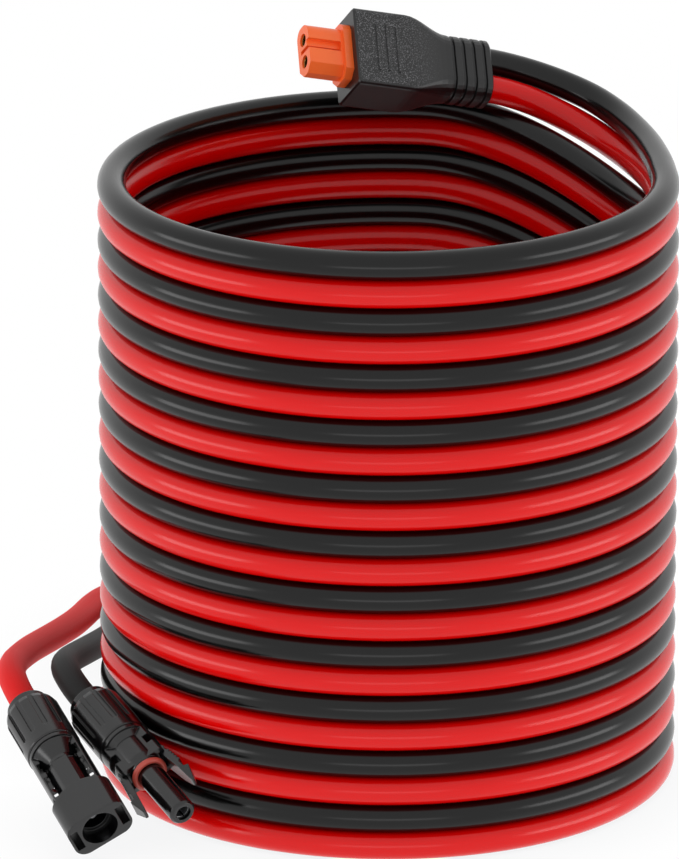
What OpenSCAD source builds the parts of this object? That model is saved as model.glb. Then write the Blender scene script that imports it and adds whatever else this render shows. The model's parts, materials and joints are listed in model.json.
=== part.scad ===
// Twin solar lead wound in an upright coil: a keyed two-pole plug at one end of the red and black
// cables, and a latching panel connector at the other end of each.
// Millimetres, +Z up. The origin is on the coil's axis, where the lowest turn rests on the floor.

/* [Cable] */
// Outside diameter of each cable's jacket
cable_d = 8.4; // [8:0.1:8.6]
// Diameter of the stranded copper in each cable
conductor_d = 3.9; // [3.4:0.1:4.2]
// Radius of the coil, at the middle of a turn
coil_r = 81; // [79:0.5:84]
// Turns of each colour
coil_turns = 11; // [9:1:12]
// Width of the flat where one turn presses on the next
press_w = 1.6; // [0.8:0.1:2.4]

/* [Plug overmould] */
// Width of the grip at its front
grip_w = 25.4; // [24:0.1:28]
// Thickness of the grip at its front
grip_t = 16.4; // [15.4:0.1:18]
// Length of the grip's full-size block
grip_len = 17; // [14:0.5:20]
// Length of the shoulders that narrow it
shoulder_len = 15; // [12:0.5:18]
// Width of the strain relief
relief_w = 20.6; // [20.2:0.1:22]
// Thickness of the strain relief
relief_t = 12.6; // [11.6:0.1:14]
// Ribs on the strain relief
relief_ribs = 4; // [3:1:5]
// Length of one rib and its groove
rib_pitch = 3.3; // [3:0.1:4]
// Width of a groove
rib_gap = 1.1; // [0.8:0.1:1.4]
// Depth of a groove
rib_depth = 0.7; // [0.4:0.05:0.7]
// Finger ridges on the broad face
finger_ridges = 3; // [2:1:4]
// Distance between the two cables' middles at the plug
lead_pitch = 9; // [8.8:0.1:9.4]

/* [Plug body] */
// Width over both barrels
plug_w = 16; // [15.6:0.1:16.6]
// Thickness of the barrels
plug_t = 8.1; // [7.8:0.1:8.8]
// How far the barrels stand out of the collar
barrel_len = 11; // [9:0.5:13]
// How far the collar stands out of the grip
collar_out = 2.5; // [1.5:0.1:3.5]
// How much wider the collar is than the barrels, all round
collar_lip = 1.2; // [0.6:0.1:1.5]
// Distance between the contacts' axes
contact_pitch = 7.2; // [7:0.1:7.6]
// Bore of each contact
contact_bore_d = 3.5; // [3.2:0.1:3.7]
// Wall of each contact
contact_wall = 0.5; // [0.35:0.05:0.6]
// Width of the slot between the barrels
slot_w = 1.3; // [0.9:0.1:1.7]

/* [Panel connector nut] */
// Diameter over the nut's grip
nut_d = 16.6; // [16.4:0.1:17.6]
// Length of the nut's grip
nut_len = 20; // [19.5:0.5:23]
// Diameter of the collar at the nut's cable end
nut_collar_d = 12.8; // [12:0.1:13.8]
// Length of that collar
nut_collar_len = 3; // [2:0.5:5]
// Grooves round the nut's grip
nut_grooves = 12; // [8:1:14]
// Depth of those grooves
nut_groove_depth = 0.7; // [0.4:0.1:0.8]
// How far the nut backs off
nut_travel = 3; // [2:0.5:3.5]
// Outside diameter of the threaded sleeve under the nut
sleeve_d = 13.2; // [12.8:0.1:13.4]
// Length of that sleeve
sleeve_len = 12; // [11:0.5:13]

/* [Panel connector housings] */
// Diameter of the flange that the nut closes on
flange_d = 16.2; // [15.8:0.1:16.4]
// Thickness of the flange
flange_t = 1.6; // [1.2:0.1:2]
// Length of the pin connector's housing ahead of its nut
pin_body_len = 37; // [36:0.5:39]
// Width of the pin connector's mouth block
mouth_w = 19; // [18.8:0.1:20]
// Thickness of that block
mouth_t = 13; // [12.6:0.1:14]
// Length of that block
mouth_len = 13; // [12:0.5:14]
// Diameter of the mouth's bore
mouth_bore_d = 11; // [10.6:0.1:11.2]
// Diameter of the narrower bore behind it
throat_d = 8.6; // [8.4:0.1:8.8]
// Diameter of the contact pin
pin_d = 4; // [3.6:0.1:4.2]
// Length of the socket connector's body ahead of its nut
socket_body_len = 14; // [13.5:0.5:15]
// Diameter of the socket connector's nose tube
nose_d = 8; // [7.6:0.1:8.2]
// Length of that tube
nose_len = 22; // [20:0.5:23]
// Thickness of the rubber ring on the nose
ring_t = 1.8; // [1.6:0.1:2]
// Length of a latch finger ahead of its pivot
latch_len = 16; // [14:0.5:17]
// Width of a latch finger
latch_w = 6.4; // [5.6:0.1:6.6]
// Outward lean of a latch finger, in degrees
latch_lean = 8; // [7:0.5:10]

/* [Where the ends lie] */
// Where the plug rests, round the rim from +X, in degrees
plug_bearing = 68.5; // [66:0.5:71]
// Gap between the plug's underside and the rim
rest_gap = 0.3; // [0.1:0.1:0.6]
// Where the socket connector leans on the coil, from +X, in degrees
lean_bearing = 209.5; // [207:0.5:212]

/* [Hidden] */
$fn = 64;
eps = 0.01;

// Clearances: between pieces that seat, that slide, and that turn
seat = 0.05;
slide_gap = 0.15;
knuckle_gap = 0.15;

// ---- Cable and coil -------------------------------------------------------------------------
coil_h = 2 * coil_turns * cable_d;
outer_r = coil_r + cable_d / 2;
tube_sides = 12;

// ---- Plug -----------------------------------------------------------------------------------
relief_len = relief_ribs * rib_pitch;
plug_len = grip_len + shoulder_len + relief_len;
// The plug's axis: tipped from upright, turned about Z, and rolled about itself
plug_turn = [0, 77, 200];
plug_roll = 133;
plug_inset = 2.2;
plug_rise = 6.6;
plug_rear = polar(plug_bearing, coil_r - plug_inset) + [0, 0, coil_h + plug_rise + rest_gap];
pocket_depth = 3.5;
mould_w = 18.6;
mould_t = 10.4;
mould_len = 20;
mould_end = -(pocket_depth + mould_len);
cup_d = 5.2;
cup_len = 6;
cup_z = -(pocket_depth + 2);
heat_sleeve_wall = 0.5;

// ---- Panel connectors -----------------------------------------------------------------------
nut_end = -(nut_len + nut_collar_len);
nut_seat_gap = 0.1;
nut_bore_d = sleeve_d + 2 * slide_gap;
cone_start = -(sleeve_len + 0.5);
cone_end = -(nut_len - 0.5);
cable_bore_d = cable_d + 0.6;
stub_end = nut_end - nut_travel - 1;
jacket_end = -2;
cavity_d = sleeve_d - 2.2;
cavity_end = -1.4;
contact_bore = 6.4;
bulkhead_z = 9.6;
bulkhead_t = 2.6;
crimp_d = 5.4;
crimp_start = 1;
crimp_end = 8;
shank_d = 4.8;
barrel_r = throat_d / 2 + 1.1;
rail_t = 1.5;
rail_w = 8;
mouth_z = pin_body_len - mouth_len;
throat_end = pin_body_len - 6;
pocket_w = 2.4;
pocket_h = 7.2;
pivot_y = 6.9;
pivot_z = socket_body_len - 2;
knuckle_r = 1.1;
nose_tip = socket_body_len + nose_len;
ring_groove = 0.2;
ring_seat_end = socket_body_len + ring_t + 0.2;
nose_bore_d = 5.8;
tip_lip = 1.4;
socket_d = 5.6;
socket_bore_d = pin_d + 0.4;
band_start = socket_body_len + 8;
band_len = 7;
band_t = 0.3;

// Poses of the two connectors: tip from upright, turn about Z, and roll about the axis
red_turn = [0, 108, -67];
black_turn = [0, 106, -60];
connector_roll = 30;
lean_r = outer_r + nut_d / 2 + rest_gap;
nut_middle = nut_len / 2;
nut_height = 28;
black_place = polar(lean_bearing, lean_r) + [0, 0, nut_height] + nut_middle * axis_of(black_turn);
// The pin connector lies alongside, a nut's width and a little more to the left
nut_gap = 0.7;
red_shift = [-5.6, 8.2, -2];
side_by_side = -(nut_d + nut_gap) * side_y(black_turn);
red_place = black_place + side_by_side + red_shift;

// ---- Routes of the cables that are not coiled, as round numbers ------------------------------
// Plug end: [bearing, distance out from the coil's radius, height over the rim]
black_plug_route = [
    [63.3, 7.4, 6.8], [56.6, 11.6, 3.4], [49.8, 13.2, 0.4], [42.7, 12, -2.2], [35.6, 9, -3.6],
    [28, 5.6, -4.1], [20, 2.6, -4.2], [12, 0.8, -4.2], [5, 0, -4.2]
];
red_plug_route = [
    [60.9, 2.2, 0], [54.1, 6.9, -4.6], [46.9, 9.1, -8.8], [39.5, 8.6, -11.6], [32, 6.4, -12.7],
    [24.5, 4, -12.8], [17, 2, -12.8], [11, 0.6, -12.8], [5, 0, -12.8]
];
// Bearings where the lowest turns leave the coil
black_leaves = 115;
red_leaves = 105;
// Panel end: [x, y, z], from the coil to the connector
black_panel_route = [
    [-34, 73.5, 12.6], [-23.7, 80.7, 12.5], [-16.6, 91, 11.2], [-13.3, 103, 8.8], [-14.4, 115.4, 6.2],
    [-19.6, 126.8, 4.6], [-28.2, 135.9, 4.2], [-39.4, 141.3, 4.2], [-51.8, 142, 4.2], [-63.6, 138, 4.4],
    [-73.2, 129.7, 5.1], [-79.3, 118.6, 6.4], [-81.4, 106, 8.3], [-81.7, 93.2, 10.6], [-82.5, 80.4, 13.2],
    [-84.1, 67.6, 16], [-86.3, 54.8, 18.9], [-88.8, 42, 21.8], [-91.2, 29.4, 24.7], [-93.3, 17, 27.7],
    [-94.9, 5, 30.6], [-95.5, -6.5, 33.3], [-95, -16, 34.7], [-93.1, -24.4, 34.4]
];
red_panel_route = [
    [-21, 78.2, 4.2], [-9, 83.4, 4.2], [0.8, 91.8, 4.2], [7.8, 102.8, 4.2], [11.3, 115.3, 4.2],
    [10.9, 128.3, 4.2], [6.8, 140.7, 4.2], [-0.7, 151.3, 4.2], [-10.6, 159, 4.2], [-22.4, 163.3, 4.2],
    [-35.3, 164.2, 4.2], [-48.2, 161.6, 4.3], [-60.4, 156, 4.7], [-71.4, 147.6, 5.6], [-80.3, 136.6, 7],
    [-86.6, 123.6, 8.8], [-90.3, 109.4, 11], [-92.6, 95, 13.4], [-95, 81, 15.9], [-97.9, 67.4, 18.4],
    [-100.9, 54, 21], [-103.9, 40.6, 23.7], [-106.7, 27, 26.5], [-108.9, 13.6, 29.2], [-110.5, 1.6, 31.5],
    [-111.1, -8.6, 33.2], [-111, -16.6, 33.8], [-109.8, -24.1, 33.4]
];

// ---- Functions ------------------------------------------------------------------------------
function unit(v) = v / norm(v);
function polar(bearing, r) = [r * cos(bearing), r * sin(bearing), 0];
// The direction that local +Z takes after rotate(turn), where turn tips about Y and then turns about Z
function axis_of(turn) = [sin(turn.y) * cos(turn.z), sin(turn.y) * sin(turn.z), cos(turn.y)];
// The directions of local +X and +Y after rotate(turn), and of +Y after a roll as well
function tipped_x(turn) = [cos(turn.y) * cos(turn.z), cos(turn.y) * sin(turn.z), -sin(turn.y)];
function side_y(turn) = [-sin(turn.z), cos(turn.z), 0];
function rolled_y(turn, roll) = cos(roll) * side_y(turn) - sin(roll) * tipped_x(turn);
function over_rim(p) = polar(p[0], coil_r + p[1]) + [0, 0, coil_h + p[2]];
function smooth(t) = t * t * (3 - 2 * t);

// ---- Placing --------------------------------------------------------------------------------
module place_plug() {
    translate(plug_rear + plug_len * axis_of(plug_turn))
        rotate(plug_turn)
            rotate([0, 0, plug_roll])
                children();
}

module place_red() {
    translate(red_place) rotate(red_turn) rotate([0, 0, connector_roll]) children();
}

module place_black() {
    translate(black_place) rotate(black_turn) rotate([0, 0, connector_roll]) children();
}

// ---- Shared shapes --------------------------------------------------------------------------
// A cable swept along points, with flat ends square to the start and end directions
module swept_cable(points, start_dir, end_dir) {
    last = len(points) - 1;
    dirs = [for (i = [0:last])
        i == 0 ? start_dir : i == last ? end_dir : unit(points[i + 1] - points[i - 1])];
    skin = [for (i = [0:last])
        let (side = unit(cross(dirs[i], [0, 0, 1])), up = cross(side, dirs[i]))
        for (k = [0:tube_sides - 1])
            points[i] + cable_d / 2 * (cos(360 * k / tube_sides) * side + sin(360 * k / tube_sides) * up)];
    walls = [for (i = [0:last - 1], k = [0:tube_sides - 1])
        let (a = i * tube_sides + k, b = i * tube_sides + (k + 1) % tube_sides)
        [a, a + tube_sides, b + tube_sides, b]];
    front = [for (k = [0:tube_sides - 1]) k];
    back = [for (k = [tube_sides - 1:-1:0]) last * tube_sides + k];
    polyhedron(points = skin, faces = concat([front, back], walls), convexity = 8);
}

// A cylinder along Z between two heights
module rod(d, from, to) {
    translate([0, 0, from]) cylinder(d = d, h = to - from);
}

// A cone along Z between two heights
module taper(d_from, d_to, from, to) {
    translate([0, 0, from]) cylinder(d1 = d_from, d2 = d_to, h = to - from);
}

// A box from low to high in X and Y, centred, between two heights
module block(x, y, from, to) {
    translate([-x / 2, -y / 2, from]) cube([x, y, to - from]);
}

module rounded_outline(x, y, r) {
    square([x - 2 * r, y], center = true);
    square([x, y - 2 * r], center = true);
    for (sx = [-1, 1], sy = [-1, 1])
        translate([sx * (x / 2 - r), sy * (y / 2 - r)]) circle(r);
}

// ---- Coil -----------------------------------------------------------------------------------
// Turns of one colour, the lowest at height first, with a narrow flat where each meets its neighbour
module turns(first) {
    for (i = [0:coil_turns - 1])
        translate([0, 0, first + 2 * i * cable_d])
            rotate_extrude($fn = 128)
                translate([coil_r, 0]) {
                    circle(d = cable_d, $fn = 32);
                    square([press_w, cable_d], center = true);
                }
}

module black_coil() {
    color("#1c1c1d") turns(1.5 * cable_d);
}

module red_coil() {
    color("#d80a0a") turns(0.5 * cable_d);
}

// ---- Cables between the coil and the ends ---------------------------------------------------
// Where a cable leaves the plug: side is 1 for black and -1 for red
function plug_exit(side) = plug_rear + side * lead_pitch / 2 * rolled_y(plug_turn, plug_roll);

module plug_lead(side, route) {
    away = -axis_of(plug_turn);
    exit = plug_exit(side);
    points = concat([exit], [for (p = route) over_rim(p)]);
    swept_cable(points, away, polar(route[len(route) - 1][0] - 90, 1));
}

module panel_lead(route, place, turn, leaves) {
    ahead = axis_of(turn);
    meet = place + stub_end * ahead;
    points = concat(route, [meet]);
    swept_cable(points, polar(leaves - 90, 1), ahead);
}

module black_lead_plug_end() {
    color("#1c1c1d") plug_lead(1, black_plug_route);
}

module red_lead_plug_end() {
    color("#d80a0a") plug_lead(-1, red_plug_route);
}

module black_lead_panel_end() {
    color("#1c1c1d") panel_lead(black_panel_route, black_place, black_turn, black_leaves);
}

module red_lead_panel_end() {
    color("#d80a0a") panel_lead(red_panel_route, red_place, red_turn, red_leaves);
}

// ---- Plug: overmould ------------------------------------------------------------------------
// Size of the overmould's section at a depth behind its front face: [width, thickness, corner]
function shoulder_at(depth) = smooth(max(0, min(1, (depth - grip_len) / shoulder_len)));
function section_at(depth, inset) =
    let (s = shoulder_at(depth))
    [
        grip_w + s * (relief_w - grip_w) - 2 * inset,
        grip_t + s * (relief_t - grip_t) - 2 * inset,
        1.4 + s * 3.8 - inset / 2
    ];
corner_steps = 6;
function section_ring(size, z) = [for (q = [0:3], k = [0:corner_steps])
    let (
        a = 90 * q + 90 * k / corner_steps,
        cx = (q == 0 || q == 3 ? 1 : -1) * (size[1] / 2 - size[2]),
        cy = (q < 2 ? 1 : -1) * (size[0] / 2 - size[2])
    )
    [cx + size[2] * cos(a), cy + size[2] * sin(a), z]];

shoulder_steps = 8;
rib_edge = 0.25;
// [depth, inset] of each section, from the front face to the last rib
overmould_stations = concat(
    [[0, 0.5], [0.5, 0], [grip_len, 0]],
    [for (i = [1:shoulder_steps]) [grip_len + i * shoulder_len / shoulder_steps, 0]],
    [for (i = [0:relief_ribs - 1])
        let (start = grip_len + shoulder_len + i * rib_pitch)
        each [
            [start + rib_edge, rib_depth], [start + rib_gap, rib_depth],
            [start + rib_gap + rib_edge, 0],
            [start + rib_pitch - (i == relief_ribs - 1 ? 2 * rib_edge : 0), 0]
        ]],
    [[plug_len, 2 * rib_edge]]
);

module overmould_skin() {
    rings = [for (s = overmould_stations) section_ring(section_at(s[0], s[1]), -s[0])];
    n = len(rings[0]);
    last = len(rings) - 1;
    walls = [for (i = [0:last - 1], k = [0:n - 1])
        let (a = i * n + k, b = i * n + (k + 1) % n)
        [a, b, b + n, a + n]];
    front = [for (k = [n - 1:-1:0]) k];
    back = [for (k = [0:n - 1]) last * n + k];
    polyhedron(points = [for (r = rings) each r], faces = concat([front, back], walls), convexity = 6);
}

ridge_pitch = 3.2;
ridge_w = 0.6;
ridge_h = 0.35;
module plug_overmould() {
    color("#29292a") place_plug() difference() {
        union() {
            overmould_skin();
            // Low finger ridges across both broad faces
            for (i = [0:finger_ridges - 1], side = [-1, 1])
                translate([side * grip_t / 2, 0, -(7 + i * ridge_pitch)])
                    cube([2 * ridge_h, grip_w - 10, ridge_w], center = true);
        }
        // Pocket for the plug body's collar
        translate([0, 0, -pocket_depth]) linear_extrude(pocket_depth + 1) body_outline(collar_lip + seat);
        block(mould_t, mould_w, mould_end, -pocket_depth + eps);
        for (side = [-1, 1])
            translate([0, side * lead_pitch / 2, 0]) rod(cable_d + 2 * seat, -plug_len - 1, mould_end + 1);
    }
}

// ---- Plug: body and what is in it -----------------------------------------------------------
// One end of the body is rounded and the other is chamfered, so that it goes in one way only
key_chamfer = 2.6;
key_round = 3.4;
module body_outline(grow) {
    x = plug_t / 2 + grow;
    y = plug_w / 2 + grow;
    polygon([
        [-x, y - key_round], [-x, -y + key_chamfer], [-x + key_chamfer, -y], [x - key_chamfer, -y],
        [x, -y + key_chamfer], [x, y - key_round]
    ]);
    translate([-x + key_round, y - key_round - eps]) square([2 * (x - key_round), key_round + eps]);
    for (side = [-1, 1])
        translate([side * (x - key_round), y - key_round]) circle(key_round);
}

body_front = collar_out + barrel_len;
slot_back = 2;
ledge_w = 3.2;
ledge_depth = 1.6;
window_len = 3;
front_lip = 0.6;
lip_clear = 0.5;
module plug_body() {
    contact_d = contact_bore_d + 2 * contact_wall;
    color("#ff6a1f") place_plug() difference() {
        union() {
            translate([0, 0, seat - pocket_depth])
                linear_extrude(pocket_depth - seat + collar_out) body_outline(collar_lip);
            linear_extrude(body_front) body_outline(0);
        }
        for (side = [-1, 1]) translate([0, side * contact_pitch / 2, 0]) {
            rod(contact_d + 2 * seat, -pocket_depth - 1, body_front - front_lip);
            rod(contact_bore_d + lip_clear, -pocket_depth, body_front + 1);
        }
        // The slot that parts the two barrels, its ledge, and the window through its back
        translate([-plug_t / 2 + slot_back, -slot_w / 2, collar_out + 0.6])
            cube([plug_t, slot_w, barrel_len]);
        translate([plug_t / 2 - ledge_depth, -slot_w / 2, collar_out + 0.6])
            cube([plug_t, ledge_w, barrel_len]);
        translate([-plug_t, -slot_w / 2, collar_out + 0.6])
            cube([plug_t, slot_w, window_len]);
    }
}

module plug_contact(side) {
    tube_d = contact_bore_d + 2 * contact_wall;
    place_plug() translate([0, side * contact_pitch / 2, 0]) difference() {
        union() {
            rod(tube_d, cup_z, body_front - front_lip - seat);
            rod(cup_d, cup_z - cup_len, cup_z);
        }
        rod(contact_bore_d, collar_out - 3, body_front);
        rod(conductor_d + 2 * seat, cup_z - cup_len - 1, cup_z - 1);
    }
}

module plug_contact_black() {
    color("#c9a24a") plug_contact(1);
}

module plug_contact_red() {
    color("#c9a24a") plug_contact(-1);
}

// Shrink sleeve over each solder cup, which keeps the two joints apart
module plug_sleeve(side) {
    bore = cup_d + 2 * seat;
    place_plug() translate([0, side * contact_pitch / 2, 0]) difference() {
        rod(bore + 2 * heat_sleeve_wall, cup_z - cup_len, cup_z - seat);
        rod(bore, cup_z - cup_len - 1, cup_z + 1);
    }
}

module plug_sleeve_black() {
    color("#202020") plug_sleeve(1);
}

module plug_sleeve_red() {
    color("#b01414") plug_sleeve(-1);
}

strip_z = mould_end + 1;
joint_z = cup_z - cup_len;
bend_len = 2;
bend_gap = 0.4;
module plug_conductor(side) {
    shift = side * (lead_pitch - contact_pitch) / 2;
    place_plug() {
        translate([0, side * contact_pitch / 2, 0]) rod(conductor_d, joint_z - bend_len, cup_z - 1.5);
        translate([0, side * contact_pitch / 2 + shift, 0]) rod(conductor_d, strip_z, joint_z - bend_gap);
    }
}

module plug_conductor_black() {
    color("#b87333") plug_conductor(1);
}

module plug_conductor_red() {
    color("#b87333") plug_conductor(-1);
}

// Soft inner moulding that locks the contacts, the joints and the cable ends together
module plug_inner_mould() {
    sleeve_out = cup_d + 2 * seat + 2 * heat_sleeve_wall;
    contact_d = contact_bore_d + 2 * contact_wall;
    color("#4a4a4c") place_plug() difference() {
        block(mould_t - 2 * seat, mould_w - 2 * seat, mould_end + seat, -pocket_depth - seat);
        for (side = [-1, 1]) {
            translate([0, side * contact_pitch / 2, 0]) {
                rod(contact_d + 2 * seat, cup_z, 0);
                rod(sleeve_out + 2 * seat, joint_z, cup_z + seat);
                rod(conductor_d + 2 * seat, joint_z - bend_len - seat, joint_z + 1);
            }
            translate([0, side * lead_pitch / 2, 0]) rod(conductor_d + 2 * seat, mould_end - 1, joint_z + 1);
        }
    }
}

// ---- Panel connectors: what both have -------------------------------------------------------
groove_w = 1.5;
band_w = 5;
module nut() {
    r = nut_d / 2;
    c = nut_collar_d / 2;
    bore = cable_bore_d / 2;
    front = -nut_seat_gap;
    difference() {
        rotate_extrude() polygon([
            [bore, nut_end], [c - 0.5, nut_end], [c, nut_end + 0.5], [c, -nut_len - 0.2],
            [r - 1.3, -nut_len], [r - 0.4, -nut_len + 0.9], [r, -nut_len + 2.4], [r, front - 0.4],
            [r - 0.3, front], [nut_bore_d / 2, front], [nut_bore_d / 2, cone_start], [bore, cone_end]
        ]);
        for (i = [0:nut_grooves - 1]) rotate(360 * (i + 0.5) / nut_grooves) {
            translate([r - nut_groove_depth, -groove_w / 2, -nut_len - 1])
                cube([2, groove_w, nut_len + 1 - band_w]);
            translate([r - nut_groove_depth, 0, -band_w])
                rotate([0, 90, 0]) cylinder(d = groove_w, h = 2, $fn = 16);
        }
    }
}

claw_slits = 8;
claw_ring_t = 1.4;
claw_len = 5.4;
// Radius of the nut's inner cone at a height
function cone_r(z) = cable_bore_d / 2
    + (nut_bore_d - cable_bore_d) / 2 * (z - cone_end) / (cone_start - cone_end);
module claw() {
    top = -sleeve_len - 0.1;
    foot = top - claw_len;
    r_top = min(cone_r(top), nut_bore_d / 2) - slide_gap;
    difference() {
        rotate_extrude() polygon([
            [cable_d / 2 + slide_gap, foot], [cone_r(foot) - slide_gap, foot],
            [cone_r(cone_start) - slide_gap, cone_start], [r_top, top], [cable_d / 2 + slide_gap, top]
        ]);
        for (i = [0:claw_slits / 2 - 1]) rotate(360 * i / claw_slits)
            translate([-nut_d / 2, -0.4, foot - 1]) cube([nut_d, 0.8, claw_len + 1 - claw_ring_t]);
    }
}

module gland_seal() {
    rotate_extrude() polygon([
        [cable_d / 2 + seat, -sleeve_len + 0.4], [cavity_d / 2 - 0.6, -sleeve_len + 0.4],
        [cavity_d / 2 - seat, -sleeve_len + 1.2], [cavity_d / 2 - seat, jacket_end - 1.6],
        [cable_d / 2 + seat, jacket_end - 1.6]
    ]);
}

module cable_end() {
    difference() {
        rod(cable_d, stub_end, jacket_end);
        rod(conductor_d, stub_end - 1, jacket_end + 1);
    }
}

module conductor() {
    rod(conductor_d, stub_end, crimp_end - 1);
}

// Split ring behind the contact's collar, which keeps the contact in its housing
clip_z = 6.2;
clip_len = crimp_end - clip_z - 0.1;
module contact_clip() {
    difference() {
        rod(contact_bore - 2 * seat, clip_z, clip_z + clip_len);
        rod(crimp_d + 2 * seat, clip_z - 1, clip_z + clip_len + 1);
        translate([0, -0.5, clip_z - 1]) cube([contact_bore, 1, clip_len + 2]);
    }
}

// Crimp barrel and collar that both kinds of contact share
module crimp() {
    difference() {
        union() {
            rod(crimp_d, crimp_start, crimp_end);
            rod(contact_bore - 2 * seat, crimp_end, bulkhead_z - seat);
            rod(shank_d, bulkhead_z - 1, bulkhead_z + bulkhead_t + 2 * seat);
        }
        rod(conductor_d + 2 * seat, crimp_start - 1, crimp_end - 1 + seat);
    }
}

// Threaded sleeve, flange and dished shoulder that both housings share
module housing_rear(neck_d, neck_z) {
    rod(sleeve_d, -sleeve_len, eps);
    rotate_extrude() polygon([
        [0, 0], [flange_d / 2 - 0.3, 0], [flange_d / 2, 0.3], [flange_d / 2, flange_t],
        [flange_d / 2 - 0.7, flange_t], [neck_d / 2, neck_z], [0, neck_z]
    ]);
}

// The way through both housings for the cable end and the contact
module housing_bores() {
    rod(cavity_d, -sleeve_len - 1, cavity_end);
    rod(contact_bore, cavity_end - 1, bulkhead_z);
    rod(shank_d + 2 * seat, bulkhead_z - 1, bulkhead_z + bulkhead_t + 1);
}

// ---- Pin connector, on the red cable --------------------------------------------------------
neck_z = 6.2;
step_z = 9;
rail_end = mouth_z - 2;
spine_w = 5;
short_window = [4.6, 9];
long_window = [11, rail_end - 1.6];
web_t = 3;

// Two side rails that follow the flange's outline, joined to the barrel by a web with windows
module rails() {
    difference() {
        intersection() {
            rod(flange_d, flange_t - 0.5, rail_end);
            block(rail_w, flange_d + 1, flange_t - 0.5, rail_end);
        }
        difference() {
            rod(flange_d - 2 * rail_t, flange_t - 1, rail_end + 1);
            block(web_t, flange_d, flange_t - 2, rail_end + 2);
        }
        for (side = [-1, 1], w = [short_window, long_window])
            translate([-rail_w, side > 0 ? barrel_r - 0.4 : -flange_d / 2 + rail_t, w[0]])
                cube([2 * rail_w, flange_d / 2 - rail_t - barrel_r + 0.4, w[1] - w[0]]);
    }
}

// Oblong mouth block, with its back sloped into the barrel and a light chamfer round its front
module mouth_block() {
    reach = norm([mouth_w, mouth_t]) / 2;
    intersection() {
        translate([0, 0, mouth_z - 3]) linear_extrude(mouth_len + 3) rounded_outline(mouth_t, mouth_w, 4);
        union() {
            taper(2 * barrel_r + 1, 2 * reach, mouth_z - 3, mouth_z + 1.5);
            rod(2 * reach, mouth_z + 1.5, pin_body_len - 1.6);
            taper(2 * reach, 2 * reach - 2.4, pin_body_len - 1.6, pin_body_len);
        }
    }
}

module red_housing() {
    color("#232324") place_red() difference() {
        union() {
            housing_rear(2 * barrel_r - 1.2, neck_z);
            rod(2 * barrel_r - 1.2, neck_z - 1, step_z);
            taper(2 * barrel_r - 1.2, 2 * barrel_r + 0.6, step_z - 1.4, step_z);
            rod(2 * barrel_r, step_z - eps, mouth_z);
            block(2 * barrel_r + 1.4, spine_w, step_z, mouth_z);
            rails();
            mouth_block();
        }
        housing_bores();
        rod(throat_d, bulkhead_z + bulkhead_t, throat_end + 1);
        rod(mouth_bore_d, throat_end, pin_body_len + 1);
        // Pockets for the mate's latch fingers, open at the front and into the notch behind the block
        for (side = [-1, 1])
            translate([-pocket_h / 2, side * (mouth_w / 2 - 0.8 - pocket_w / 2) - pocket_w / 2, mouth_z - 4])
                cube([pocket_h, pocket_w, mouth_len + 5]);
    }
}

pin_tip = pin_body_len - 6.2;
module red_pin_contact() {
    color("#c8c8cc") place_red() {
        crimp();
        rod(pin_d, bulkhead_z + bulkhead_t - eps, pin_tip - pin_d / 4);
        taper(pin_d, pin_d / 2, pin_tip - pin_d / 4, pin_tip);
    }
}

module red_nut() {
    color("#232324") place_red() nut();
}

module red_claw() {
    color("#39393b") place_red() claw();
}

module red_gland_seal() {
    color("#303032") place_red() gland_seal();
}

module red_contact_clip() {
    color("#b4b4b8") place_red() contact_clip();
}

module red_cable_end() {
    color("#d80a0a") place_red() cable_end();
}

module red_conductor() {
    color("#b87333") place_red() conductor();
}

// ---- Socket connector, on the black cable ---------------------------------------------------
cheek_t = 10;
dome_r = 6.1;
dome_foot_z = 4.4;
side_window = 3.4;
side_window_z = 5.4;
side_window_rim = 0.1;
side_window_y = flange_d / 2 - side_window_rim - side_window;
root_d = nose_d + 2 * ring_t - 1.4;
latch_slot_w = latch_w + 0.4;
module black_housing() {
    color("#232324") place_black() difference() {
        union() {
            housing_rear(2 * dome_r - 2, dome_foot_z);
            // Cheeks that carry the latches
            intersection() {
                rod(flange_d, flange_t - 0.5, socket_body_len - 0.6);
                block(cheek_t, flange_d + 1, flange_t - 0.5, socket_body_len - 0.6);
            }
            rod(2 * dome_r, 3.4, socket_body_len - 2.6);
            taper(2 * dome_r, root_d, socket_body_len - 2.6, socket_body_len);
            rod(nose_d - 2 * ring_groove, socket_body_len - 1, ring_seat_end + 1);
            rod(nose_d, ring_seat_end, nose_tip - 0.8);
            taper(nose_d, nose_d - 1.2, nose_tip - 0.8, nose_tip);
        }
        // Dish behind each cheek, and the square window through it
        for (side = [-1, 1]) {
            translate([-cheek_t, side > 0 ? side_window_y : -side_window_y - side_window, side_window_z])
                cube([2 * cheek_t, side_window, side_window]);
            // Seat and slot of the latch finger
            translate([-latch_slot_w / 2, side * pivot_y, pivot_z])
                rotate([0, 90, 0]) cylinder(r = knuckle_r + knuckle_gap, h = latch_slot_w, $fn = 32);
            translate([-latch_slot_w / 2, side > 0 ? pivot_y - 1.9 : -pivot_y - 1.9, pivot_z])
                cube([latch_slot_w, 3.8, socket_body_len]);
        }
        housing_bores();
        rod(nose_bore_d, bulkhead_z + bulkhead_t, nose_tip - tip_lip);
        rod(nose_d * 0.6, bulkhead_z + bulkhead_t, nose_tip + 1);
    }
}

slit_w = 0.5;
slit_land = 1.4;
module black_socket_contact() {
    color("#c8c8cc") place_black() {
        difference() {
            union() {
                crimp();
                rod(socket_d, bulkhead_z + bulkhead_t + seat, nose_tip - tip_lip - 0.2);
            }
            rod(socket_bore_d, bulkhead_z + bulkhead_t + 1, nose_tip);
            rod(socket_bore_d + 2 * band_t, band_start, band_start + band_len);
            for (a = [0, 90]) rotate(a)
                translate([-socket_d, -slit_w / 2, band_start + band_len + slit_land])
                    cube([2 * socket_d, slit_w, nose_len]);
        }
    }
}

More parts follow.
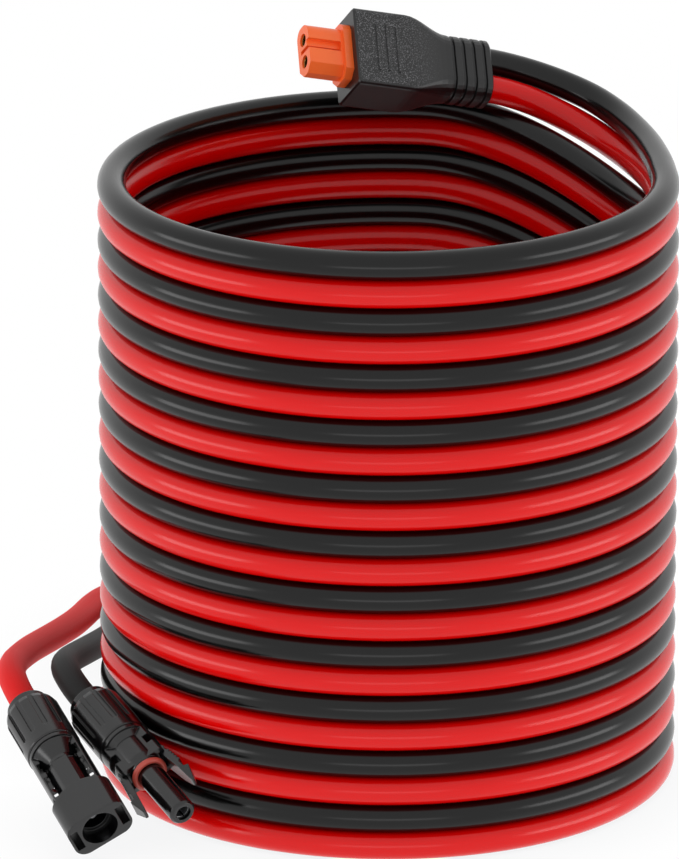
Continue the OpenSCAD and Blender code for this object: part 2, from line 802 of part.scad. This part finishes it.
// Louvred spring band in the socket's groove
louvres = 8;
module black_contact_band() {
    outer = socket_bore_d + 2 * band_t - 2 * 0.02;
    color("#d8d8dc") place_black() difference() {
        rod(outer, band_start + seat, band_start + band_len - seat);
        rod(socket_bore_d, band_start - 1, band_start + band_len + 1);
        for (i = [0:louvres - 1]) rotate(360 * i / louvres)
            translate([0, -0.2, band_start + 1]) cube([socket_d, 0.4, band_len - 2]);
    }
}

module black_nut() {
    color("#232324") place_black() nut();
}

module black_claw() {
    color("#39393b") place_black() claw();
}

module black_gland_seal() {
    color("#303032") place_black() gland_seal();
}

module black_contact_clip() {
    color("#b4b4b8") place_black() contact_clip();
}

module black_cable_end() {
    color("#1c1c1d") place_black() cable_end();
}

module black_conductor() {
    color("#b87333") place_black() conductor();
}

module nose_ring() {
    color("#b5403a") place_black()
        translate([0, 0, socket_body_len + ring_t / 2 + seat])
            rotate_extrude()
                translate([(nose_d + ring_t) / 2 - ring_groove + 0.02, 0]) circle(d = ring_t, $fn = 32);
}

// Outline of a latch finger seen along its pivot, with the pivot at the origin and the tip along +Y
finger_t = 1.5;
pad_start = 1.6;
pad_len = 6.4;
pad_ridges = 5;
barb_h = 1.3;
module finger_side() {
    circle(knuckle_r, $fn = 32);
    translate([-knuckle_r, 0]) square([finger_t, pad_start]);
    polygon([
        [-knuckle_r, 0], [-knuckle_r + finger_t, 0], [-knuckle_r + finger_t + 0.5, pad_start],
        [-knuckle_r + finger_t + 0.5, pad_start + pad_len],
        [-knuckle_r + finger_t, pad_start + pad_len + 0.6],
        [-knuckle_r + finger_t, latch_len - 5.2], [-knuckle_r + finger_t + barb_h, latch_len - 4.6],
        [-knuckle_r + 0.9, latch_len], [-knuckle_r + 0.2, latch_len], [-knuckle_r, latch_len - 1]
    ]);
    for (i = [0:pad_ridges - 1])
        translate([-knuckle_r + finger_t + 0.3, pad_start + 0.4 + i * pad_len / pad_ridges])
            square([0.6, 0.7]);
}

// A finger as seen from its broad side, narrowing to the tip
module finger_front() {
    w = latch_w / 2;
    polygon([
        [-w, -2], [w, -2], [w, latch_len - 6], [w * 0.45, latch_len], [-w * 0.45, latch_len],
        [-w, latch_len - 6]
    ]);
}

// The finger stands in the YZ plane, with its pivot along X
module latch(side) {
    translate([0, side * pivot_y, pivot_z])
        mirror([0, side > 0 ? 0 : 1, 0])
            rotate([-latch_lean, 0, 0])
                intersection() {
                    rotate([90, 0, 90]) linear_extrude(latch_w, center = true) finger_side();
                    translate([0, 4, 0]) rotate([90, 0, 0]) linear_extrude(8) finger_front();
                }
}

module latch_left() {
    color("#1f1f20") place_black() latch(-1);
}

module latch_right() {
    color("#1f1f20") place_black() latch(1);
}

black_coil();
red_coil();
black_lead_plug_end();
red_lead_plug_end();
black_lead_panel_end();
red_lead_panel_end();
plug_overmould();
plug_inner_mould();
plug_body();
plug_contact_black();
plug_contact_red();
plug_sleeve_black();
plug_sleeve_red();
plug_conductor_black();
plug_conductor_red();
red_nut();
red_claw();
red_gland_seal();
red_housing();
red_pin_contact();
red_contact_clip();
red_cable_end();
red_conductor();
black_nut();
black_claw();
black_gland_seal();
black_housing();
black_socket_contact();
black_contact_band();
black_contact_clip();
black_cable_end();
black_conductor();
nose_ring();
latch_left();
latch_right();
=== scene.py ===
import bpy
import bmesh
import json
import math
from mathutils import Matrix, Vector

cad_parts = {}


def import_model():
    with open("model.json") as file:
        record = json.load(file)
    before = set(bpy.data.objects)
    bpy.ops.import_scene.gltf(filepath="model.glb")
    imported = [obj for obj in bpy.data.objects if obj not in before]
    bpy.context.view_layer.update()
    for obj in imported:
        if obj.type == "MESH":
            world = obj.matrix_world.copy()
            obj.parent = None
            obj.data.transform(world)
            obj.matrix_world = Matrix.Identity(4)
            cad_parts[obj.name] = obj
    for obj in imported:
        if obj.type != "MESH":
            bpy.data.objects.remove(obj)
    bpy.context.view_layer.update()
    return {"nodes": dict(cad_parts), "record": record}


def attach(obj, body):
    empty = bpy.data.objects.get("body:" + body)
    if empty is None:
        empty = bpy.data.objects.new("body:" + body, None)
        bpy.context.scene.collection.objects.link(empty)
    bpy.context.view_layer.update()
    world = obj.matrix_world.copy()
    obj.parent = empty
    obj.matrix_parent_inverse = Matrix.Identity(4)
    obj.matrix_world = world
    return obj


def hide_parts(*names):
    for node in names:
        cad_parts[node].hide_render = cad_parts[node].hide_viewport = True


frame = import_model()
NODES = frame["nodes"]
MM = 0.001

# ---- Sizes and places repeated from the CAD source, in millimetres ----------------------------
CABLE_D = 8.4
COIL_R = 81.0
TURNS = 11
COIL_H = 2 * TURNS * CABLE_D
PLUG_TURN = (77.0, 200.0)
PLUG_ROLL = 133.0
PLUG_LEN = 45.2
LEAD_PITCH = 9.0
RED_TURN = (108.0, -67.0)
BLACK_TURN = (106.0, -60.0)
NUT_D = 16.6
NUT_LEN = 20.0
NUT_END = -23.0
JACKET_END = -2.0
REST_GAP = 0.3
PLUG_BEARING, PLUG_INSET, PLUG_RISE = 68.5, 2.2, 6.6
LEAN_BEARING = 209.5
NUT_HEIGHT = 28.0
NUT_GAP = 0.7
RED_SHIFT = Vector((-5.6, 8.2, -2))

BLACK_PLUG_ROUTE = [
    (63.3, 7.4, 6.8), (56.6, 11.6, 3.4), (49.8, 13.2, 0.4), (42.7, 12, -2.2), (35.6, 9, -3.6),
    (28, 5.6, -4.1), (20, 2.6, -4.2), (12, 0.8, -4.2), (5, 0, -4.2),
]
RED_PLUG_ROUTE = [
    (60.9, 2.2, 0), (54.1, 6.9, -4.6), (46.9, 9.1, -8.8), (39.5, 8.6, -11.6), (32, 6.4, -12.7),
    (24.5, 4, -12.8), (17, 2, -12.8), (11, 0.6, -12.8), (5, 0, -12.8),
]
BLACK_PANEL_ROUTE = [
    (-34, 73.5, 12.6), (-23.7, 80.7, 12.5), (-16.6, 91, 11.2), (-13.3, 103, 8.8), (-14.4, 115.4, 6.2),
    (-19.6, 126.8, 4.6), (-28.2, 135.9, 4.2), (-39.4, 141.3, 4.2), (-51.8, 142, 4.2), (-63.6, 138, 4.4),
    (-73.2, 129.7, 5.1), (-79.3, 118.6, 6.4), (-81.4, 106, 8.3), (-81.7, 93.2, 10.6), (-82.5, 80.4, 13.2),
    (-84.1, 67.6, 16), (-86.3, 54.8, 18.9), (-88.8, 42, 21.8), (-91.2, 29.4, 24.7), (-93.3, 17, 27.7),
    (-94.9, 5, 30.6), (-95.5, -6.5, 33.3), (-95, -16, 34.7), (-93.1, -24.4, 34.4),
]
RED_PANEL_ROUTE = [
    (-21, 78.2, 4.2), (-9, 83.4, 4.2), (0.8, 91.8, 4.2), (7.8, 102.8, 4.2), (11.3, 115.3, 4.2),
    (10.9, 128.3, 4.2), (6.8, 140.7, 4.2), (-0.7, 151.3, 4.2), (-10.6, 159, 4.2), (-22.4, 163.3, 4.2),
    (-35.3, 164.2, 4.2), (-48.2, 161.6, 4.3), (-60.4, 156, 4.7), (-71.4, 147.6, 5.6), (-80.3, 136.6, 7),
    (-86.6, 123.6, 8.8), (-90.3, 109.4, 11), (-92.6, 95, 13.4), (-95, 81, 15.9), (-97.9, 67.4, 18.4),
    (-100.9, 54, 21), (-103.9, 40.6, 23.7), (-106.7, 27, 26.5), (-108.9, 13.6, 29.2), (-110.5, 1.6, 31.5),
    (-111.1, -8.6, 33.2), (-111, -16.6, 33.8), (-109.8, -24.1, 33.4),
]


def sin(a):
    return math.sin(math.radians(a))


def cos(a):
    return math.cos(math.radians(a))


def polar(bearing, r, z=0.0):
    return Vector((r * cos(bearing), r * sin(bearing), z))


def axis_of(turn):
    return Vector((sin(turn[0]) * cos(turn[1]), sin(turn[0]) * sin(turn[1]), cos(turn[0])))


def placed(place, turn, roll):
    """The matrix from a piece's own millimetres to the frame's metres."""
    rot = Matrix.Rotation(math.radians(turn[1]), 4, "Z") @ Matrix.Rotation(math.radians(turn[0]), 4, "Y")
    rot = rot @ Matrix.Rotation(math.radians(roll), 4, "Z")
    return Matrix.Scale(MM, 4) @ Matrix.Translation(place) @ rot


PLUG_REAR = polar(PLUG_BEARING, COIL_R - PLUG_INSET, COIL_H + PLUG_RISE + REST_GAP)
PLUG_PLACE = PLUG_REAR + PLUG_LEN * axis_of(PLUG_TURN)
BLACK_NUT_MIDDLE = polar(LEAN_BEARING, COIL_R + CABLE_D / 2 + NUT_D / 2 + REST_GAP, NUT_HEIGHT)
BLACK_PLACE = BLACK_NUT_MIDDLE + NUT_LEN / 2 * axis_of(BLACK_TURN)
SIDE_STEP = -(NUT_D + NUT_GAP) * Vector((-sin(BLACK_TURN[1]), cos(BLACK_TURN[1]), 0))
RED_PLACE = BLACK_PLACE + SIDE_STEP + RED_SHIFT
PLUG = placed(PLUG_PLACE, PLUG_TURN, PLUG_ROLL)
BROAD_FACE = (PLUG.to_3x3() @ Vector((1, 0, 0))).normalized()

# ---- Camera -----------------------------------------------------------------------------------
VIEW_WIDTH = 200.0     # what the camera takes in across its view
ELEVATION = 18.3
AIM = Vector((-14.3, 0, 104.6))
LENS, SENSOR = 600.0, 36.0
NEAR, FAR = 0.05, 20.0  # in metres


def camera():
    data = bpy.data.cameras.new("camera")
    cam = bpy.data.objects.new("camera", data)
    bpy.context.scene.collection.objects.link(cam)
    data.sensor_fit = "HORIZONTAL"
    data.sensor_width = SENSOR
    data.lens = LENS
    away = VIEW_WIDTH * LENS / SENSOR
    back = Vector((0, -cos(ELEVATION), sin(ELEVATION)))
    cam.location = (AIM + away * back) * MM
    cam.rotation_euler = (math.radians(90 - ELEVATION), 0, 0)
    data.clip_start = NEAR
    data.clip_end = FAR
    bpy.context.scene.camera = cam


# ---- Cables -----------------------------------------------------------------------------------
JOG_FROM, JOG_TO = 83.0, 21.0   # each turn steps down by two cables between these bearings
JOIN = 5.0                      # the cables from the plug join the coil at this bearing
BLACK_LEAVES, RED_LEAVES = 115.0, 105.0   # bearings where the lowest turns leave the coil
INTO_PLUG = 20.0                # how far a cable runs on inside the overmould
BEFORE_NUT, INSIDE_NUT = 4.0, 8.0   # a tail is straight from before its nut's end to inside it
STEP = 3.0                      # spacing of a cable's points: millimetres, and degrees round the coil
SIDES = 20                      # flats round a cable


def smooth(t):
    t = max(0.0, min(1.0, t))
    return t * t * (3 - 2 * t)


def spline(points, start, end):
    """Points a few millimetres apart on a smooth curve through the given ones."""
    tangents = []
    for i, p in enumerate(points):
        if i == 0:
            tangents.append(start.normalized())
        elif i == len(points) - 1:
            tangents.append(end.normalized())
        else:
            before, after = p - points[i - 1], points[i + 1] - p
            d0, d1 = before.length, after.length
            tangents.append((before / d0 * d1 + after / d1 * d0).normalized())
    out = []
    for i in range(len(points) - 1):
        a, b = points[i], points[i + 1]
        length = (b - a).length
        n = max(2, round(length / STEP))
        for k in range(n):
            u = k / n
            out.append(
                (2 * u ** 3 - 3 * u ** 2 + 1) * a + (u ** 3 - 2 * u ** 2 + u) * length * tangents[i]
                + (3 * u ** 2 - 2 * u ** 3) * b + (u ** 3 - u ** 2) * length * tangents[i + 1])
    out.append(points[-1])
    return out


def coil_points(top_z, leaves):
    """From the join down to the bearing where the lowest turn leaves."""
    total = 360 * (TURNS - 1) + (JOIN + 360 - leaves)
    n = round(total / STEP)
    out = []
    for k in range(1, n):
        gone = total * k / n
        bearing = JOIN - gone
        turn = math.floor((JOG_FROM - bearing) / 360.0)
        within = (JOG_FROM - bearing) - 360.0 * turn
        sunk = smooth(within / (JOG_FROM - JOG_TO)) + turn
        out.append(polar(bearing, COIL_R, top_z - 2 * CABLE_D * (sunk - 1)))
    return out


def cable_path(side, plug_route, top_z, leaves, panel_route, place, turn):
    plug_axis = axis_of(PLUG_TURN)
    y_dir = (PLUG.to_3x3() @ Vector((0, 1, 0))).normalized()
    exit_point = PLUG_REAR + side * LEAD_PITCH / 2 * y_dir
    inside = exit_point + INTO_PLUG * plug_axis
    lead = [exit_point] + [polar(b, COIL_R + dr, COIL_H + dz) for b, dr, dz in plug_route]
    path = [inside, inside - INTO_PLUG / 2 * plug_axis]
    path += spline(lead, -plug_axis, polar(lead_end(plug_route) - 90, 1))
    path += coil_points(top_z, leaves)
    axis = axis_of(turn)
    tail = [Vector(p) for p in panel_route] + [place + (NUT_END - BEFORE_NUT) * axis]
    path += spline(tail, polar(leaves - 90, 1), axis)
    path += [place + (NUT_END + INSIDE_NUT) * axis, place + JACKET_END * axis]
    return path, exit_point


def lead_end(route):
    return route[-1][0]


def tube(name, path, radius):
    """A round tube along the path, with its length along V and the way round along U."""
    bm = bmesh.new()
    uv = bm.loops.layers.uv.new("jacket")
    rings = []
    gone = [0.0]
    for a, b in zip(path, path[1:]):
        gone.append(gone[-1] + (b - a).length)
    up = Vector((0, 0, 1))
    last = len(path) - 1
    for i, p in enumerate(path):
        along = (path[min(i + 1, last)] - path[max(i - 1, 0)]).normalized()
        side = along.cross(up).normalized()
        up = side.cross(along).normalized()
        rings.append([
            bm.verts.new((p + radius * (cos(360 * k / SIDES) * side + sin(360 * k / SIDES) * up)) * MM)
            for k in range(SIDES)])
    for i in range(last):
        for k in range(SIDES):
            m = (k + 1) % SIDES
            face = bm.faces.new((rings[i][k], rings[i][m], rings[i + 1][m], rings[i + 1][k]))
            face.smooth = True
            for loop, u, v in zip(face.loops, (k, k + 1, k + 1, k), (i, i, i + 1, i + 1)):
                loop[uv].uv = (u / SIDES, gone[v] * MM)
    bm.faces.new(reversed(rings[0]))
    bm.faces.new(rings[-1])
    return finish_mesh(name, bm), gone[-1] * MM


def finish_mesh(name, bm):
    bmesh.ops.recalc_face_normals(bm, faces=bm.faces[:])
    mesh = bpy.data.meshes.new(name)
    bm.to_mesh(mesh)
    bm.free()
    obj = bpy.data.objects.new(name, mesh)
    bpy.context.scene.collection.objects.link(obj)
    return obj


def cable(colour, material, *route):
    path, exit_point = cable_path(*route)
    obj, length = tube(colour + "_cable", path, CABLE_D / 2)
    obj.data.materials.append(material)
    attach(obj, "lead")
    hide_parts(colour + "_coil", colour + "_lead_plug_end", colour + "_lead_panel_end",
                colour + "_cable_end")
    [p * MM for p in path]
    print(obj.name, "length", round(length, 3))


# ---- Materials --------------------------------------------------------------------------------
# Sizes of the patterns, in millimetres. Real die marks, mould grain and wear are finer than these:
# they are drawn as coarse as they need to be to show.
STREAK_WIDTH, STREAK_LENGTH = 0.44, 125.0   # marks of the die along an extruded jacket
STREAK_DEPTH = 0.2
JACKET_CLOUD = 28.0                         # slow drift of a jacket's colour
MOTTLE = 11.0                               # flow of the melt in a moulded piece
GRAIN_DEPTH = 0.1
METAL_EDGE = 0.1                            # rounding of a metal piece's edges
HANDLED_BLEND = 30.0                        # a jacket turns from shiny to dull over this, each way
HANDLED_DULLING = 0.45                      # what handling adds to a jacket's roughness
GRAIN_AND_GLINT_ENDS, GRAIN_AND_GLINT_FULL = 30.0, 12.0         # behind the overmould's front: its grain and the painted glints on it end, and are full

NOISE_LOW, NOISE_HIGH = 0.3, 0.7            # nearly all of a noise's values lie between these
JACKET_SMOOTHEST, JACKET_ROUGHEST = 0.19, 0.23
GLINT_PAINT_FROM, GLINT_PAINT_FULL = 0.54, 0.66         # heights of the grain where the painted glint on it begins, and where it is full
FACE_FROM, FACE_FULL = 0.9, 0.98            # how squarely a face lies to the broad side to count as one
FLAT_GRAIN = 0.15                           # share of the grain's height left elsewhere on the overmould


def linear(code):
    """A colour written as six hex digits, as the linear values a shader takes."""
    out = []
    for i in (0, 2, 4):
        c = int(code[i:i + 2], 16) / 255
        out.append(c / 12.92 if c <= 0.04045 else ((c + 0.055) / 1.055) ** 2.4)
    return (*out, 1.0)


def add(tree, kind, inputs=None, **settings):
    """A node of that kind; an input given as a node or a socket is linked and any other is set."""
    node = tree.nodes.new("ShaderNode" + kind)
    for key, value in settings.items():
        setattr(node, key, value)
    for key, value in (inputs or {}).items():
        if isinstance(value, bpy.types.Node):
            value = value.outputs[0]
        if isinstance(value, bpy.types.NodeSocket):
            tree.links.new(value, node.inputs[key])
        else:
            node.inputs[key].default_value = value
    return node


def new_material(name):
    mat = bpy.data.materials.new(name)
    mat.use_nodes = True
    tree = mat.node_tree
    tree.nodes.clear()
    shader = add(tree, "BsdfPrincipled")
    add(tree, "OutputMaterial", {"Surface": shader})
    return mat, tree, shader


def mottled(tree, pattern, share, base, other):
    """The base colour, with up to a share of the other where the pattern is strong."""
    amount = add(tree, "MapRange", {"Value": pattern, "From Min": NOISE_LOW, "From Max": NOISE_HIGH,
                                    "To Min": 0.0, "To Max": share})
    return add(tree, "Mix", {0: amount, 6: linear(base), 7: linear(other)}, data_type="RGBA").outputs[2]


def jacket(name, code, highlight, specular, ends):
    """Extruded jacket: faint streaks along its length, duller from ends (m along it) on."""
    mat, tree, shader = new_material(name)
    uv = add(tree, "TexCoord").outputs["UV"]
    place = add(tree, "TexCoord").outputs["Object"]
    stretch = (math.pi * CABLE_D / STREAK_WIDTH, 1 / (STREAK_LENGTH * MM), 1)
    drawn = add(tree, "Mapping", {"Vector": uv, "Scale": stretch})
    streak = add(tree, "TexNoise", {"Vector": drawn, "Scale": 1.0, "Detail": 3.0, "Roughness": 0.5})
    cloud = add(tree, "TexNoise", {"Vector": place, "Scale": 1 / (JACKET_CLOUD * MM),
                                   "Detail": 3.0, "Roughness": 0.5})
    gloss = add(tree, "MapRange", {"Value": streak, "From Min": NOISE_LOW, "From Max": NOISE_HIGH,
                                   "To Min": JACKET_SMOOTHEST, "To Max": JACKET_ROUGHEST})
    gone = add(tree, "SeparateXYZ", {0: uv}).outputs[1]
    handled = add(tree, "MapRange", {"Value": gone, "From Min": ends - HANDLED_BLEND * MM,
                                     "From Max": ends + HANDLED_BLEND * MM}, interpolation_type="SMOOTHSTEP")
    dull = add(tree, "Math", {0: handled, 1: HANDLED_DULLING}, operation="MULTIPLY")
    roughness = add(tree, "Math", {0: gloss, 1: dull}, operation="ADD")
    bump = add(tree, "Bump", {"Height": streak, "Strength": 0.06, "Distance": STREAK_DEPTH * MM})
    tree.links.new(mottled(tree, cloud, 0.35, code, highlight), shader.inputs["Base Color"])
    tree.links.new(roughness.outputs[0], shader.inputs["Roughness"])
    tree.links.new(bump.outputs[0], shader.inputs["Normal"])
    shader.inputs["Specular IOR Level"].default_value = specular
    return mat


def moulded(name, code, pale, roughness, grain=0.2, size=0.5, edge=0.25, specular=0.5, painted_glint_colour=None):
    """Moulded plastic: grain of a size in mm, slight mottling, edges rounded to catch the light.

    The last argument is the colour of a painted glint: it goes on the grain's highest points, where the grain
    is coarse enough for each to catch the light."""
    mat, tree, shader = new_material(name)
    place = add(tree, "TexCoord").outputs["Object"]
    fine = add(tree, "TexNoise", {"Vector": place, "Scale": 1 / (size * MM),
                                  "Detail": 2.0, "Roughness": 0.6}).outputs[0]
    cloud = add(tree, "TexNoise", {"Vector": place, "Scale": 1 / (MOTTLE * MM),
                                   "Detail": 3.0, "Roughness": 0.5})
    colour = mottled(tree, cloud, 0.5, code, pale)
    gloss = add(tree, "MapRange", {"Value": cloud, "From Min": NOISE_LOW, "From Max": NOISE_HIGH,
                                   "To Min": roughness - 0.03, "To Max": roughness + 0.04})
    if painted_glint_colour:
        grain_and_glint = grain_and_glint_face(tree, place)
        # Painted glints: the highest points of the grain on those faces get the pale glint colour in their
        # base colour.
        glint_heights = add(tree, "MapRange", {"Value": fine, "From Min": GLINT_PAINT_FROM, "From Max": GLINT_PAINT_FULL,
                                       "To Min": 0.0, "To Max": 1.0})
        painted_glints = add(tree, "Math", {0: glint_heights, 1: grain_and_glint}, operation="MULTIPLY")
        colour = add(tree, "Mix", {0: painted_glints, 6: colour, 7: linear(painted_glint_colour)}, data_type="RGBA").outputs[2]
        height = add(tree, "Math", {0: grain_and_glint, 1: 1 - FLAT_GRAIN, 2: FLAT_GRAIN}, operation="MULTIPLY_ADD")
        fine = add(tree, "Math", {0: fine, 1: height}, operation="MULTIPLY").outputs[0]
    rounded = add(tree, "Bevel", {"Radius": edge * MM}, samples=6)
    bump = add(tree, "Bump", {"Height": fine, "Strength": grain, "Distance": GRAIN_DEPTH * MM,
                              "Normal": rounded})
    tree.links.new(colour, shader.inputs["Base Color"])
    tree.links.new(gloss.outputs[0], shader.inputs["Roughness"])
    tree.links.new(bump.outputs[0], shader.inputs["Normal"])
    shader.inputs["Specular IOR Level"].default_value = specular
    return mat


def grain_and_glint_face(tree, place):
    """1 on the front of the overmould's two broad faces, 0 elsewhere: where the grain is raised and its
    painted glints go.
    """
    normal = add(tree, "NewGeometry").outputs["True Normal"]
    flat = add(tree, "VectorMath", {0: normal, 1: BROAD_FACE}, operation="DOT_PRODUCT").outputs["Value"]
    either = add(tree, "Math", {0: flat}, operation="ABSOLUTE")
    broad = add(tree, "MapRange", {"Value": either, "From Min": FACE_FROM, "From Max": FACE_FULL},
                interpolation_type="SMOOTHSTEP")
    axis = axis_of(PLUG_TURN)
    along = add(tree, "VectorMath", {0: place, 1: axis}, operation="DOT_PRODUCT").outputs["Value"]
    front = PLUG_PLACE.dot(axis)
    reach = add(tree, "MapRange", {"Value": along, "From Min": (front - GRAIN_AND_GLINT_ENDS) * MM,
                                   "From Max": (front - GRAIN_AND_GLINT_FULL) * MM}, interpolation_type="SMOOTHSTEP")
    return add(tree, "Math", {0: broad, 1: reach}, operation="MULTIPLY")


def metal(name, code, dark, roughness, wear_size=1.7):
    """Plated or drawn metal, with fine wear of a size in mm."""
    mat, tree, shader = new_material(name)
    place = add(tree, "TexCoord").outputs["Object"]
    wear = add(tree, "TexNoise", {"Vector": place, "Scale": 1 / (wear_size * MM),
                                  "Detail": 4.0, "Roughness": 0.5})
    gloss = add(tree, "MapRange", {"Value": wear, "From Min": NOISE_LOW, "From Max": NOISE_HIGH,
                                   "To Min": roughness - 0.05, "To Max": roughness + 0.1})
    rounded = add(tree, "Bevel", {"Radius": METAL_EDGE * MM}, samples=6)
    tree.links.new(mottled(tree, wear, 0.6, code, dark), shader.inputs["Base Color"])
    tree.links.new(gloss.outputs[0], shader.inputs["Roughness"])
    tree.links.new(rounded.outputs[0], shader.inputs["Normal"])
    shader.inputs["Metallic"].default_value = 1.0
    return mat


MATERIALS = {}


def make_materials():
    m = MATERIALS
    # PVC, extruded: smooth and fairly shiny, with faint marks along it, rubbed dull near its end
    m["black_jacket"] = jacket("black_pvc_jacket", "010101", "040404", 0.34, 5.65)
    # The same in red: a strong even colour
    m["red_jacket"] = jacket("red_pvc_jacket", "DC0000", "D40000", 0.34, 5.66)
    # Soft thermoplastic rubber, moulded in a spark-eroded tool: matt, with a pebbled grain whose highest
    # points carry a painted pale grey glint
    m["overmould_black"] = moulded("grained_soft_overmould_painted_glints", "09090A", "0E0E0F", 0.33, 0.8, 0.34, 0.4,
                                   painted_glint_colour="7A7A7D")
    # Inner filling, moulded round the wires before the overmould: dull, even dark grey
    m["inner_mould"] = moulded("inner_filling", "3A3A3C", "434346", 0.6)
    # Nylon, injection moulded in a smooth tool: satin and strongly coloured, with crisp edges
    m["plug_orange"] = moulded("orange_nylon", "FF6A26", "FF7430", 0.34, 0.1, 0.7, 0.2)
    # Glass-filled plastic, moulded in a polished tool: deep black with a hard gloss
    m["connector_black"] = moulded("glass_filled_black_plastic", "070708", "0C0C0D", 0.2, 0.02, 0.8, 0.4, 0.6)
    # Unfilled nylon, moulded: a softer, greyer black that bends
    m["claw_black"] = moulded("nylon_claw", "222224", "29292B", 0.45)
    # Rubber, moulded: matt, without a sharp highlight
    m["seal_black"] = moulded("gland_rubber", "1C1C1C", "232323", 0.6)
    # Silicone rubber, moulded: brick red with a soft sheen
    m["ring_red"] = moulded("brick_red_silicone_ring", "B2463A", "BE5244", 0.42, 0.1, 0.7)
    # Heat-shrunk sleeve: satin, slightly wavy where it drew tight
    m["shrink_black"] = moulded("black_shrink_sleeve", "121212", "181818", 0.4, 0.1, 1.1)
    # The same sleeve in red
    m["shrink_red"] = moulded("red_shrink_sleeve", "A81010", "B01818", 0.4, 0.1, 1.1)
    # Gold plate on turned brass: warm and bright, with fine wear that breaks the reflection
    m["gilt_contact"] = metal("gold_plated_brass", "E8C47A", "B98F45", 0.2)
    # Tin plate on copper: pale and slightly clouded
    m["tinned_contact"] = metal("tin_plated_copper", "D8D9DC", "A5A6AA", 0.28)
    # Rolled spring steel, stamped: cool grey and even
    m["spring_steel"] = metal("spring_steel", "C4C5C9", "8E8F94", 0.25)
    # Drawn copper strands: reddish, duller than the plated contacts
    m["copper"] = metal("bare_copper_strand", "C77A4A", "8F4E2C", 0.35, 0.7)


def dress_nodes():
    """Each CAD node takes the material of its slot in the record."""
    for entry in frame["record"]["subparts"]:
        obj = NODES[entry["node"]]
        obj.data.materials.clear()
        obj.data.materials.append(MATERIALS[entry["material_slot"]])


# ---- Light ------------------------------------------------------------------------------------
FILL_LOW, FILL_HIGH = 0.6, 0.8   # strength of the room's light, from below and from above
WHITE = (1, 1, 1, 1)


def world():
    """A white studio: its background shows as plain white, also in reflections and through glass."""
    w = bpy.data.worlds.new("white_studio")
    bpy.context.scene.world = w
    w.use_nodes = True
    w.cycles.sampling_method = "NONE"
    tree = w.node_tree
    tree.nodes.clear()
    path = add(tree, "LightPath")
    height = add(tree, "SeparateXYZ", {0: add(tree, "TexCoord").outputs["Generated"]}).outputs[2]
    fill = add(tree, "MapRange", {"Value": height, "From Min": -1.0, "From Max": 1.0,
                                  "To Min": FILL_LOW, "To Max": FILL_HIGH})
    seen = add(tree, "Background", {"Color": WHITE, "Strength": 1.0})
    soft = add(tree, "Background", {"Color": WHITE, "Strength": fill})
    clear = add(tree, "Math", {0: path.outputs["Is Camera Ray"], 1: path.outputs["Is Transmission Ray"]},
                operation="MAXIMUM")
    white = add(tree, "Math", {0: clear, 1: path.outputs["Is Glossy Ray"]}, operation="MAXIMUM")
    add(tree, "OutputWorld", {"Surface": add(tree, "MixShader", {0: white, 1: soft, 2: seen})})


FOOT = 10.0   # a softbox's lower edge above the floor


def softbox(name, x, y, wide, high, radiance):
    """A soft lamp that stands on the floor at x, y and faces the middle of the coil, in millimetres."""
    data = bpy.data.lights.new(name, "AREA")
    data.shape = "RECTANGLE"
    data.size, data.size_y = wide * MM, high * MM
    data.energy = radiance * math.pi * data.size * data.size_y
    lamp = bpy.data.objects.new(name, data)
    bpy.context.scene.collection.objects.link(lamp)
    lamp.location = Vector((x, y, high / 2 + FOOT)) * MM
    lamp.rotation_euler = (lamp.location - Vector((0, 0, COIL_H / 2)) * MM).to_track_quat("Z", "Y").to_euler()
    lamp.visible_camera = False


def lamps():
    softbox("left_softbox", -870, -230, 700, 260, 3.0)
    softbox("right_softbox", 870, -230, 700, 260, 3.0)
    softbox("front_softbox", 0, -1200, 900, 200, 1.5)


FLOOR_SIZE = 8.0        # in metres
FLOOR_DROP = 0.2        # below the coil's foot, in millimetres, so that the two don't flicker
SHADOW_REACH = 30.0     # in millimetres


def floor():
    """A plain white floor that darkens a little close under the object: a painted shadow, with ambient
    occlusion drawn into its glow.
    """
    bm = bmesh.new()
    bmesh.ops.create_grid(bm, x_segments=1, y_segments=1, size=FLOOR_SIZE / 2)
    obj = finish_mesh("floor", bm)
    obj.location.z = -FLOOR_DROP * MM
    obj.visible_glossy = False
    mat = bpy.data.materials.new("white_floor")
    mat.use_nodes = True
    tree = mat.node_tree
    tree.nodes.clear()
    near = add(tree, "AmbientOcclusion", {"Distance": SHADOW_REACH * MM}, samples=16).outputs["AO"]
    # Painted shadow: the glow dims to F0F0F1 where ambient occlusion finds the object near.
    pale = add(tree, "Mix", {0: near, 6: linear("F0F0F1"), 7: linear("FFFFFF")}, data_type="RGBA").outputs[2]
    add(tree, "OutputMaterial", {"Surface": add(tree, "Emission", {"Color": pale, "Strength": 1.0})})
    obj.data.materials.append(mat)


def main():
    bpy.context.scene.view_settings.view_transform = "Standard"
    camera()
    make_materials()
    cable("black", MATERIALS["black_jacket"], 1, BLACK_PLUG_ROUTE, COIL_H - CABLE_D / 2, BLACK_LEAVES,
          BLACK_PANEL_ROUTE, BLACK_PLACE, BLACK_TURN)
    cable("red", MATERIALS["red_jacket"], -1, RED_PLUG_ROUTE, COIL_H - 1.5 * CABLE_D, RED_LEAVES,
          RED_PANEL_ROUTE, RED_PLACE, RED_TURN)
    dress_nodes()
    world()
    lamps()
    floor()


main()
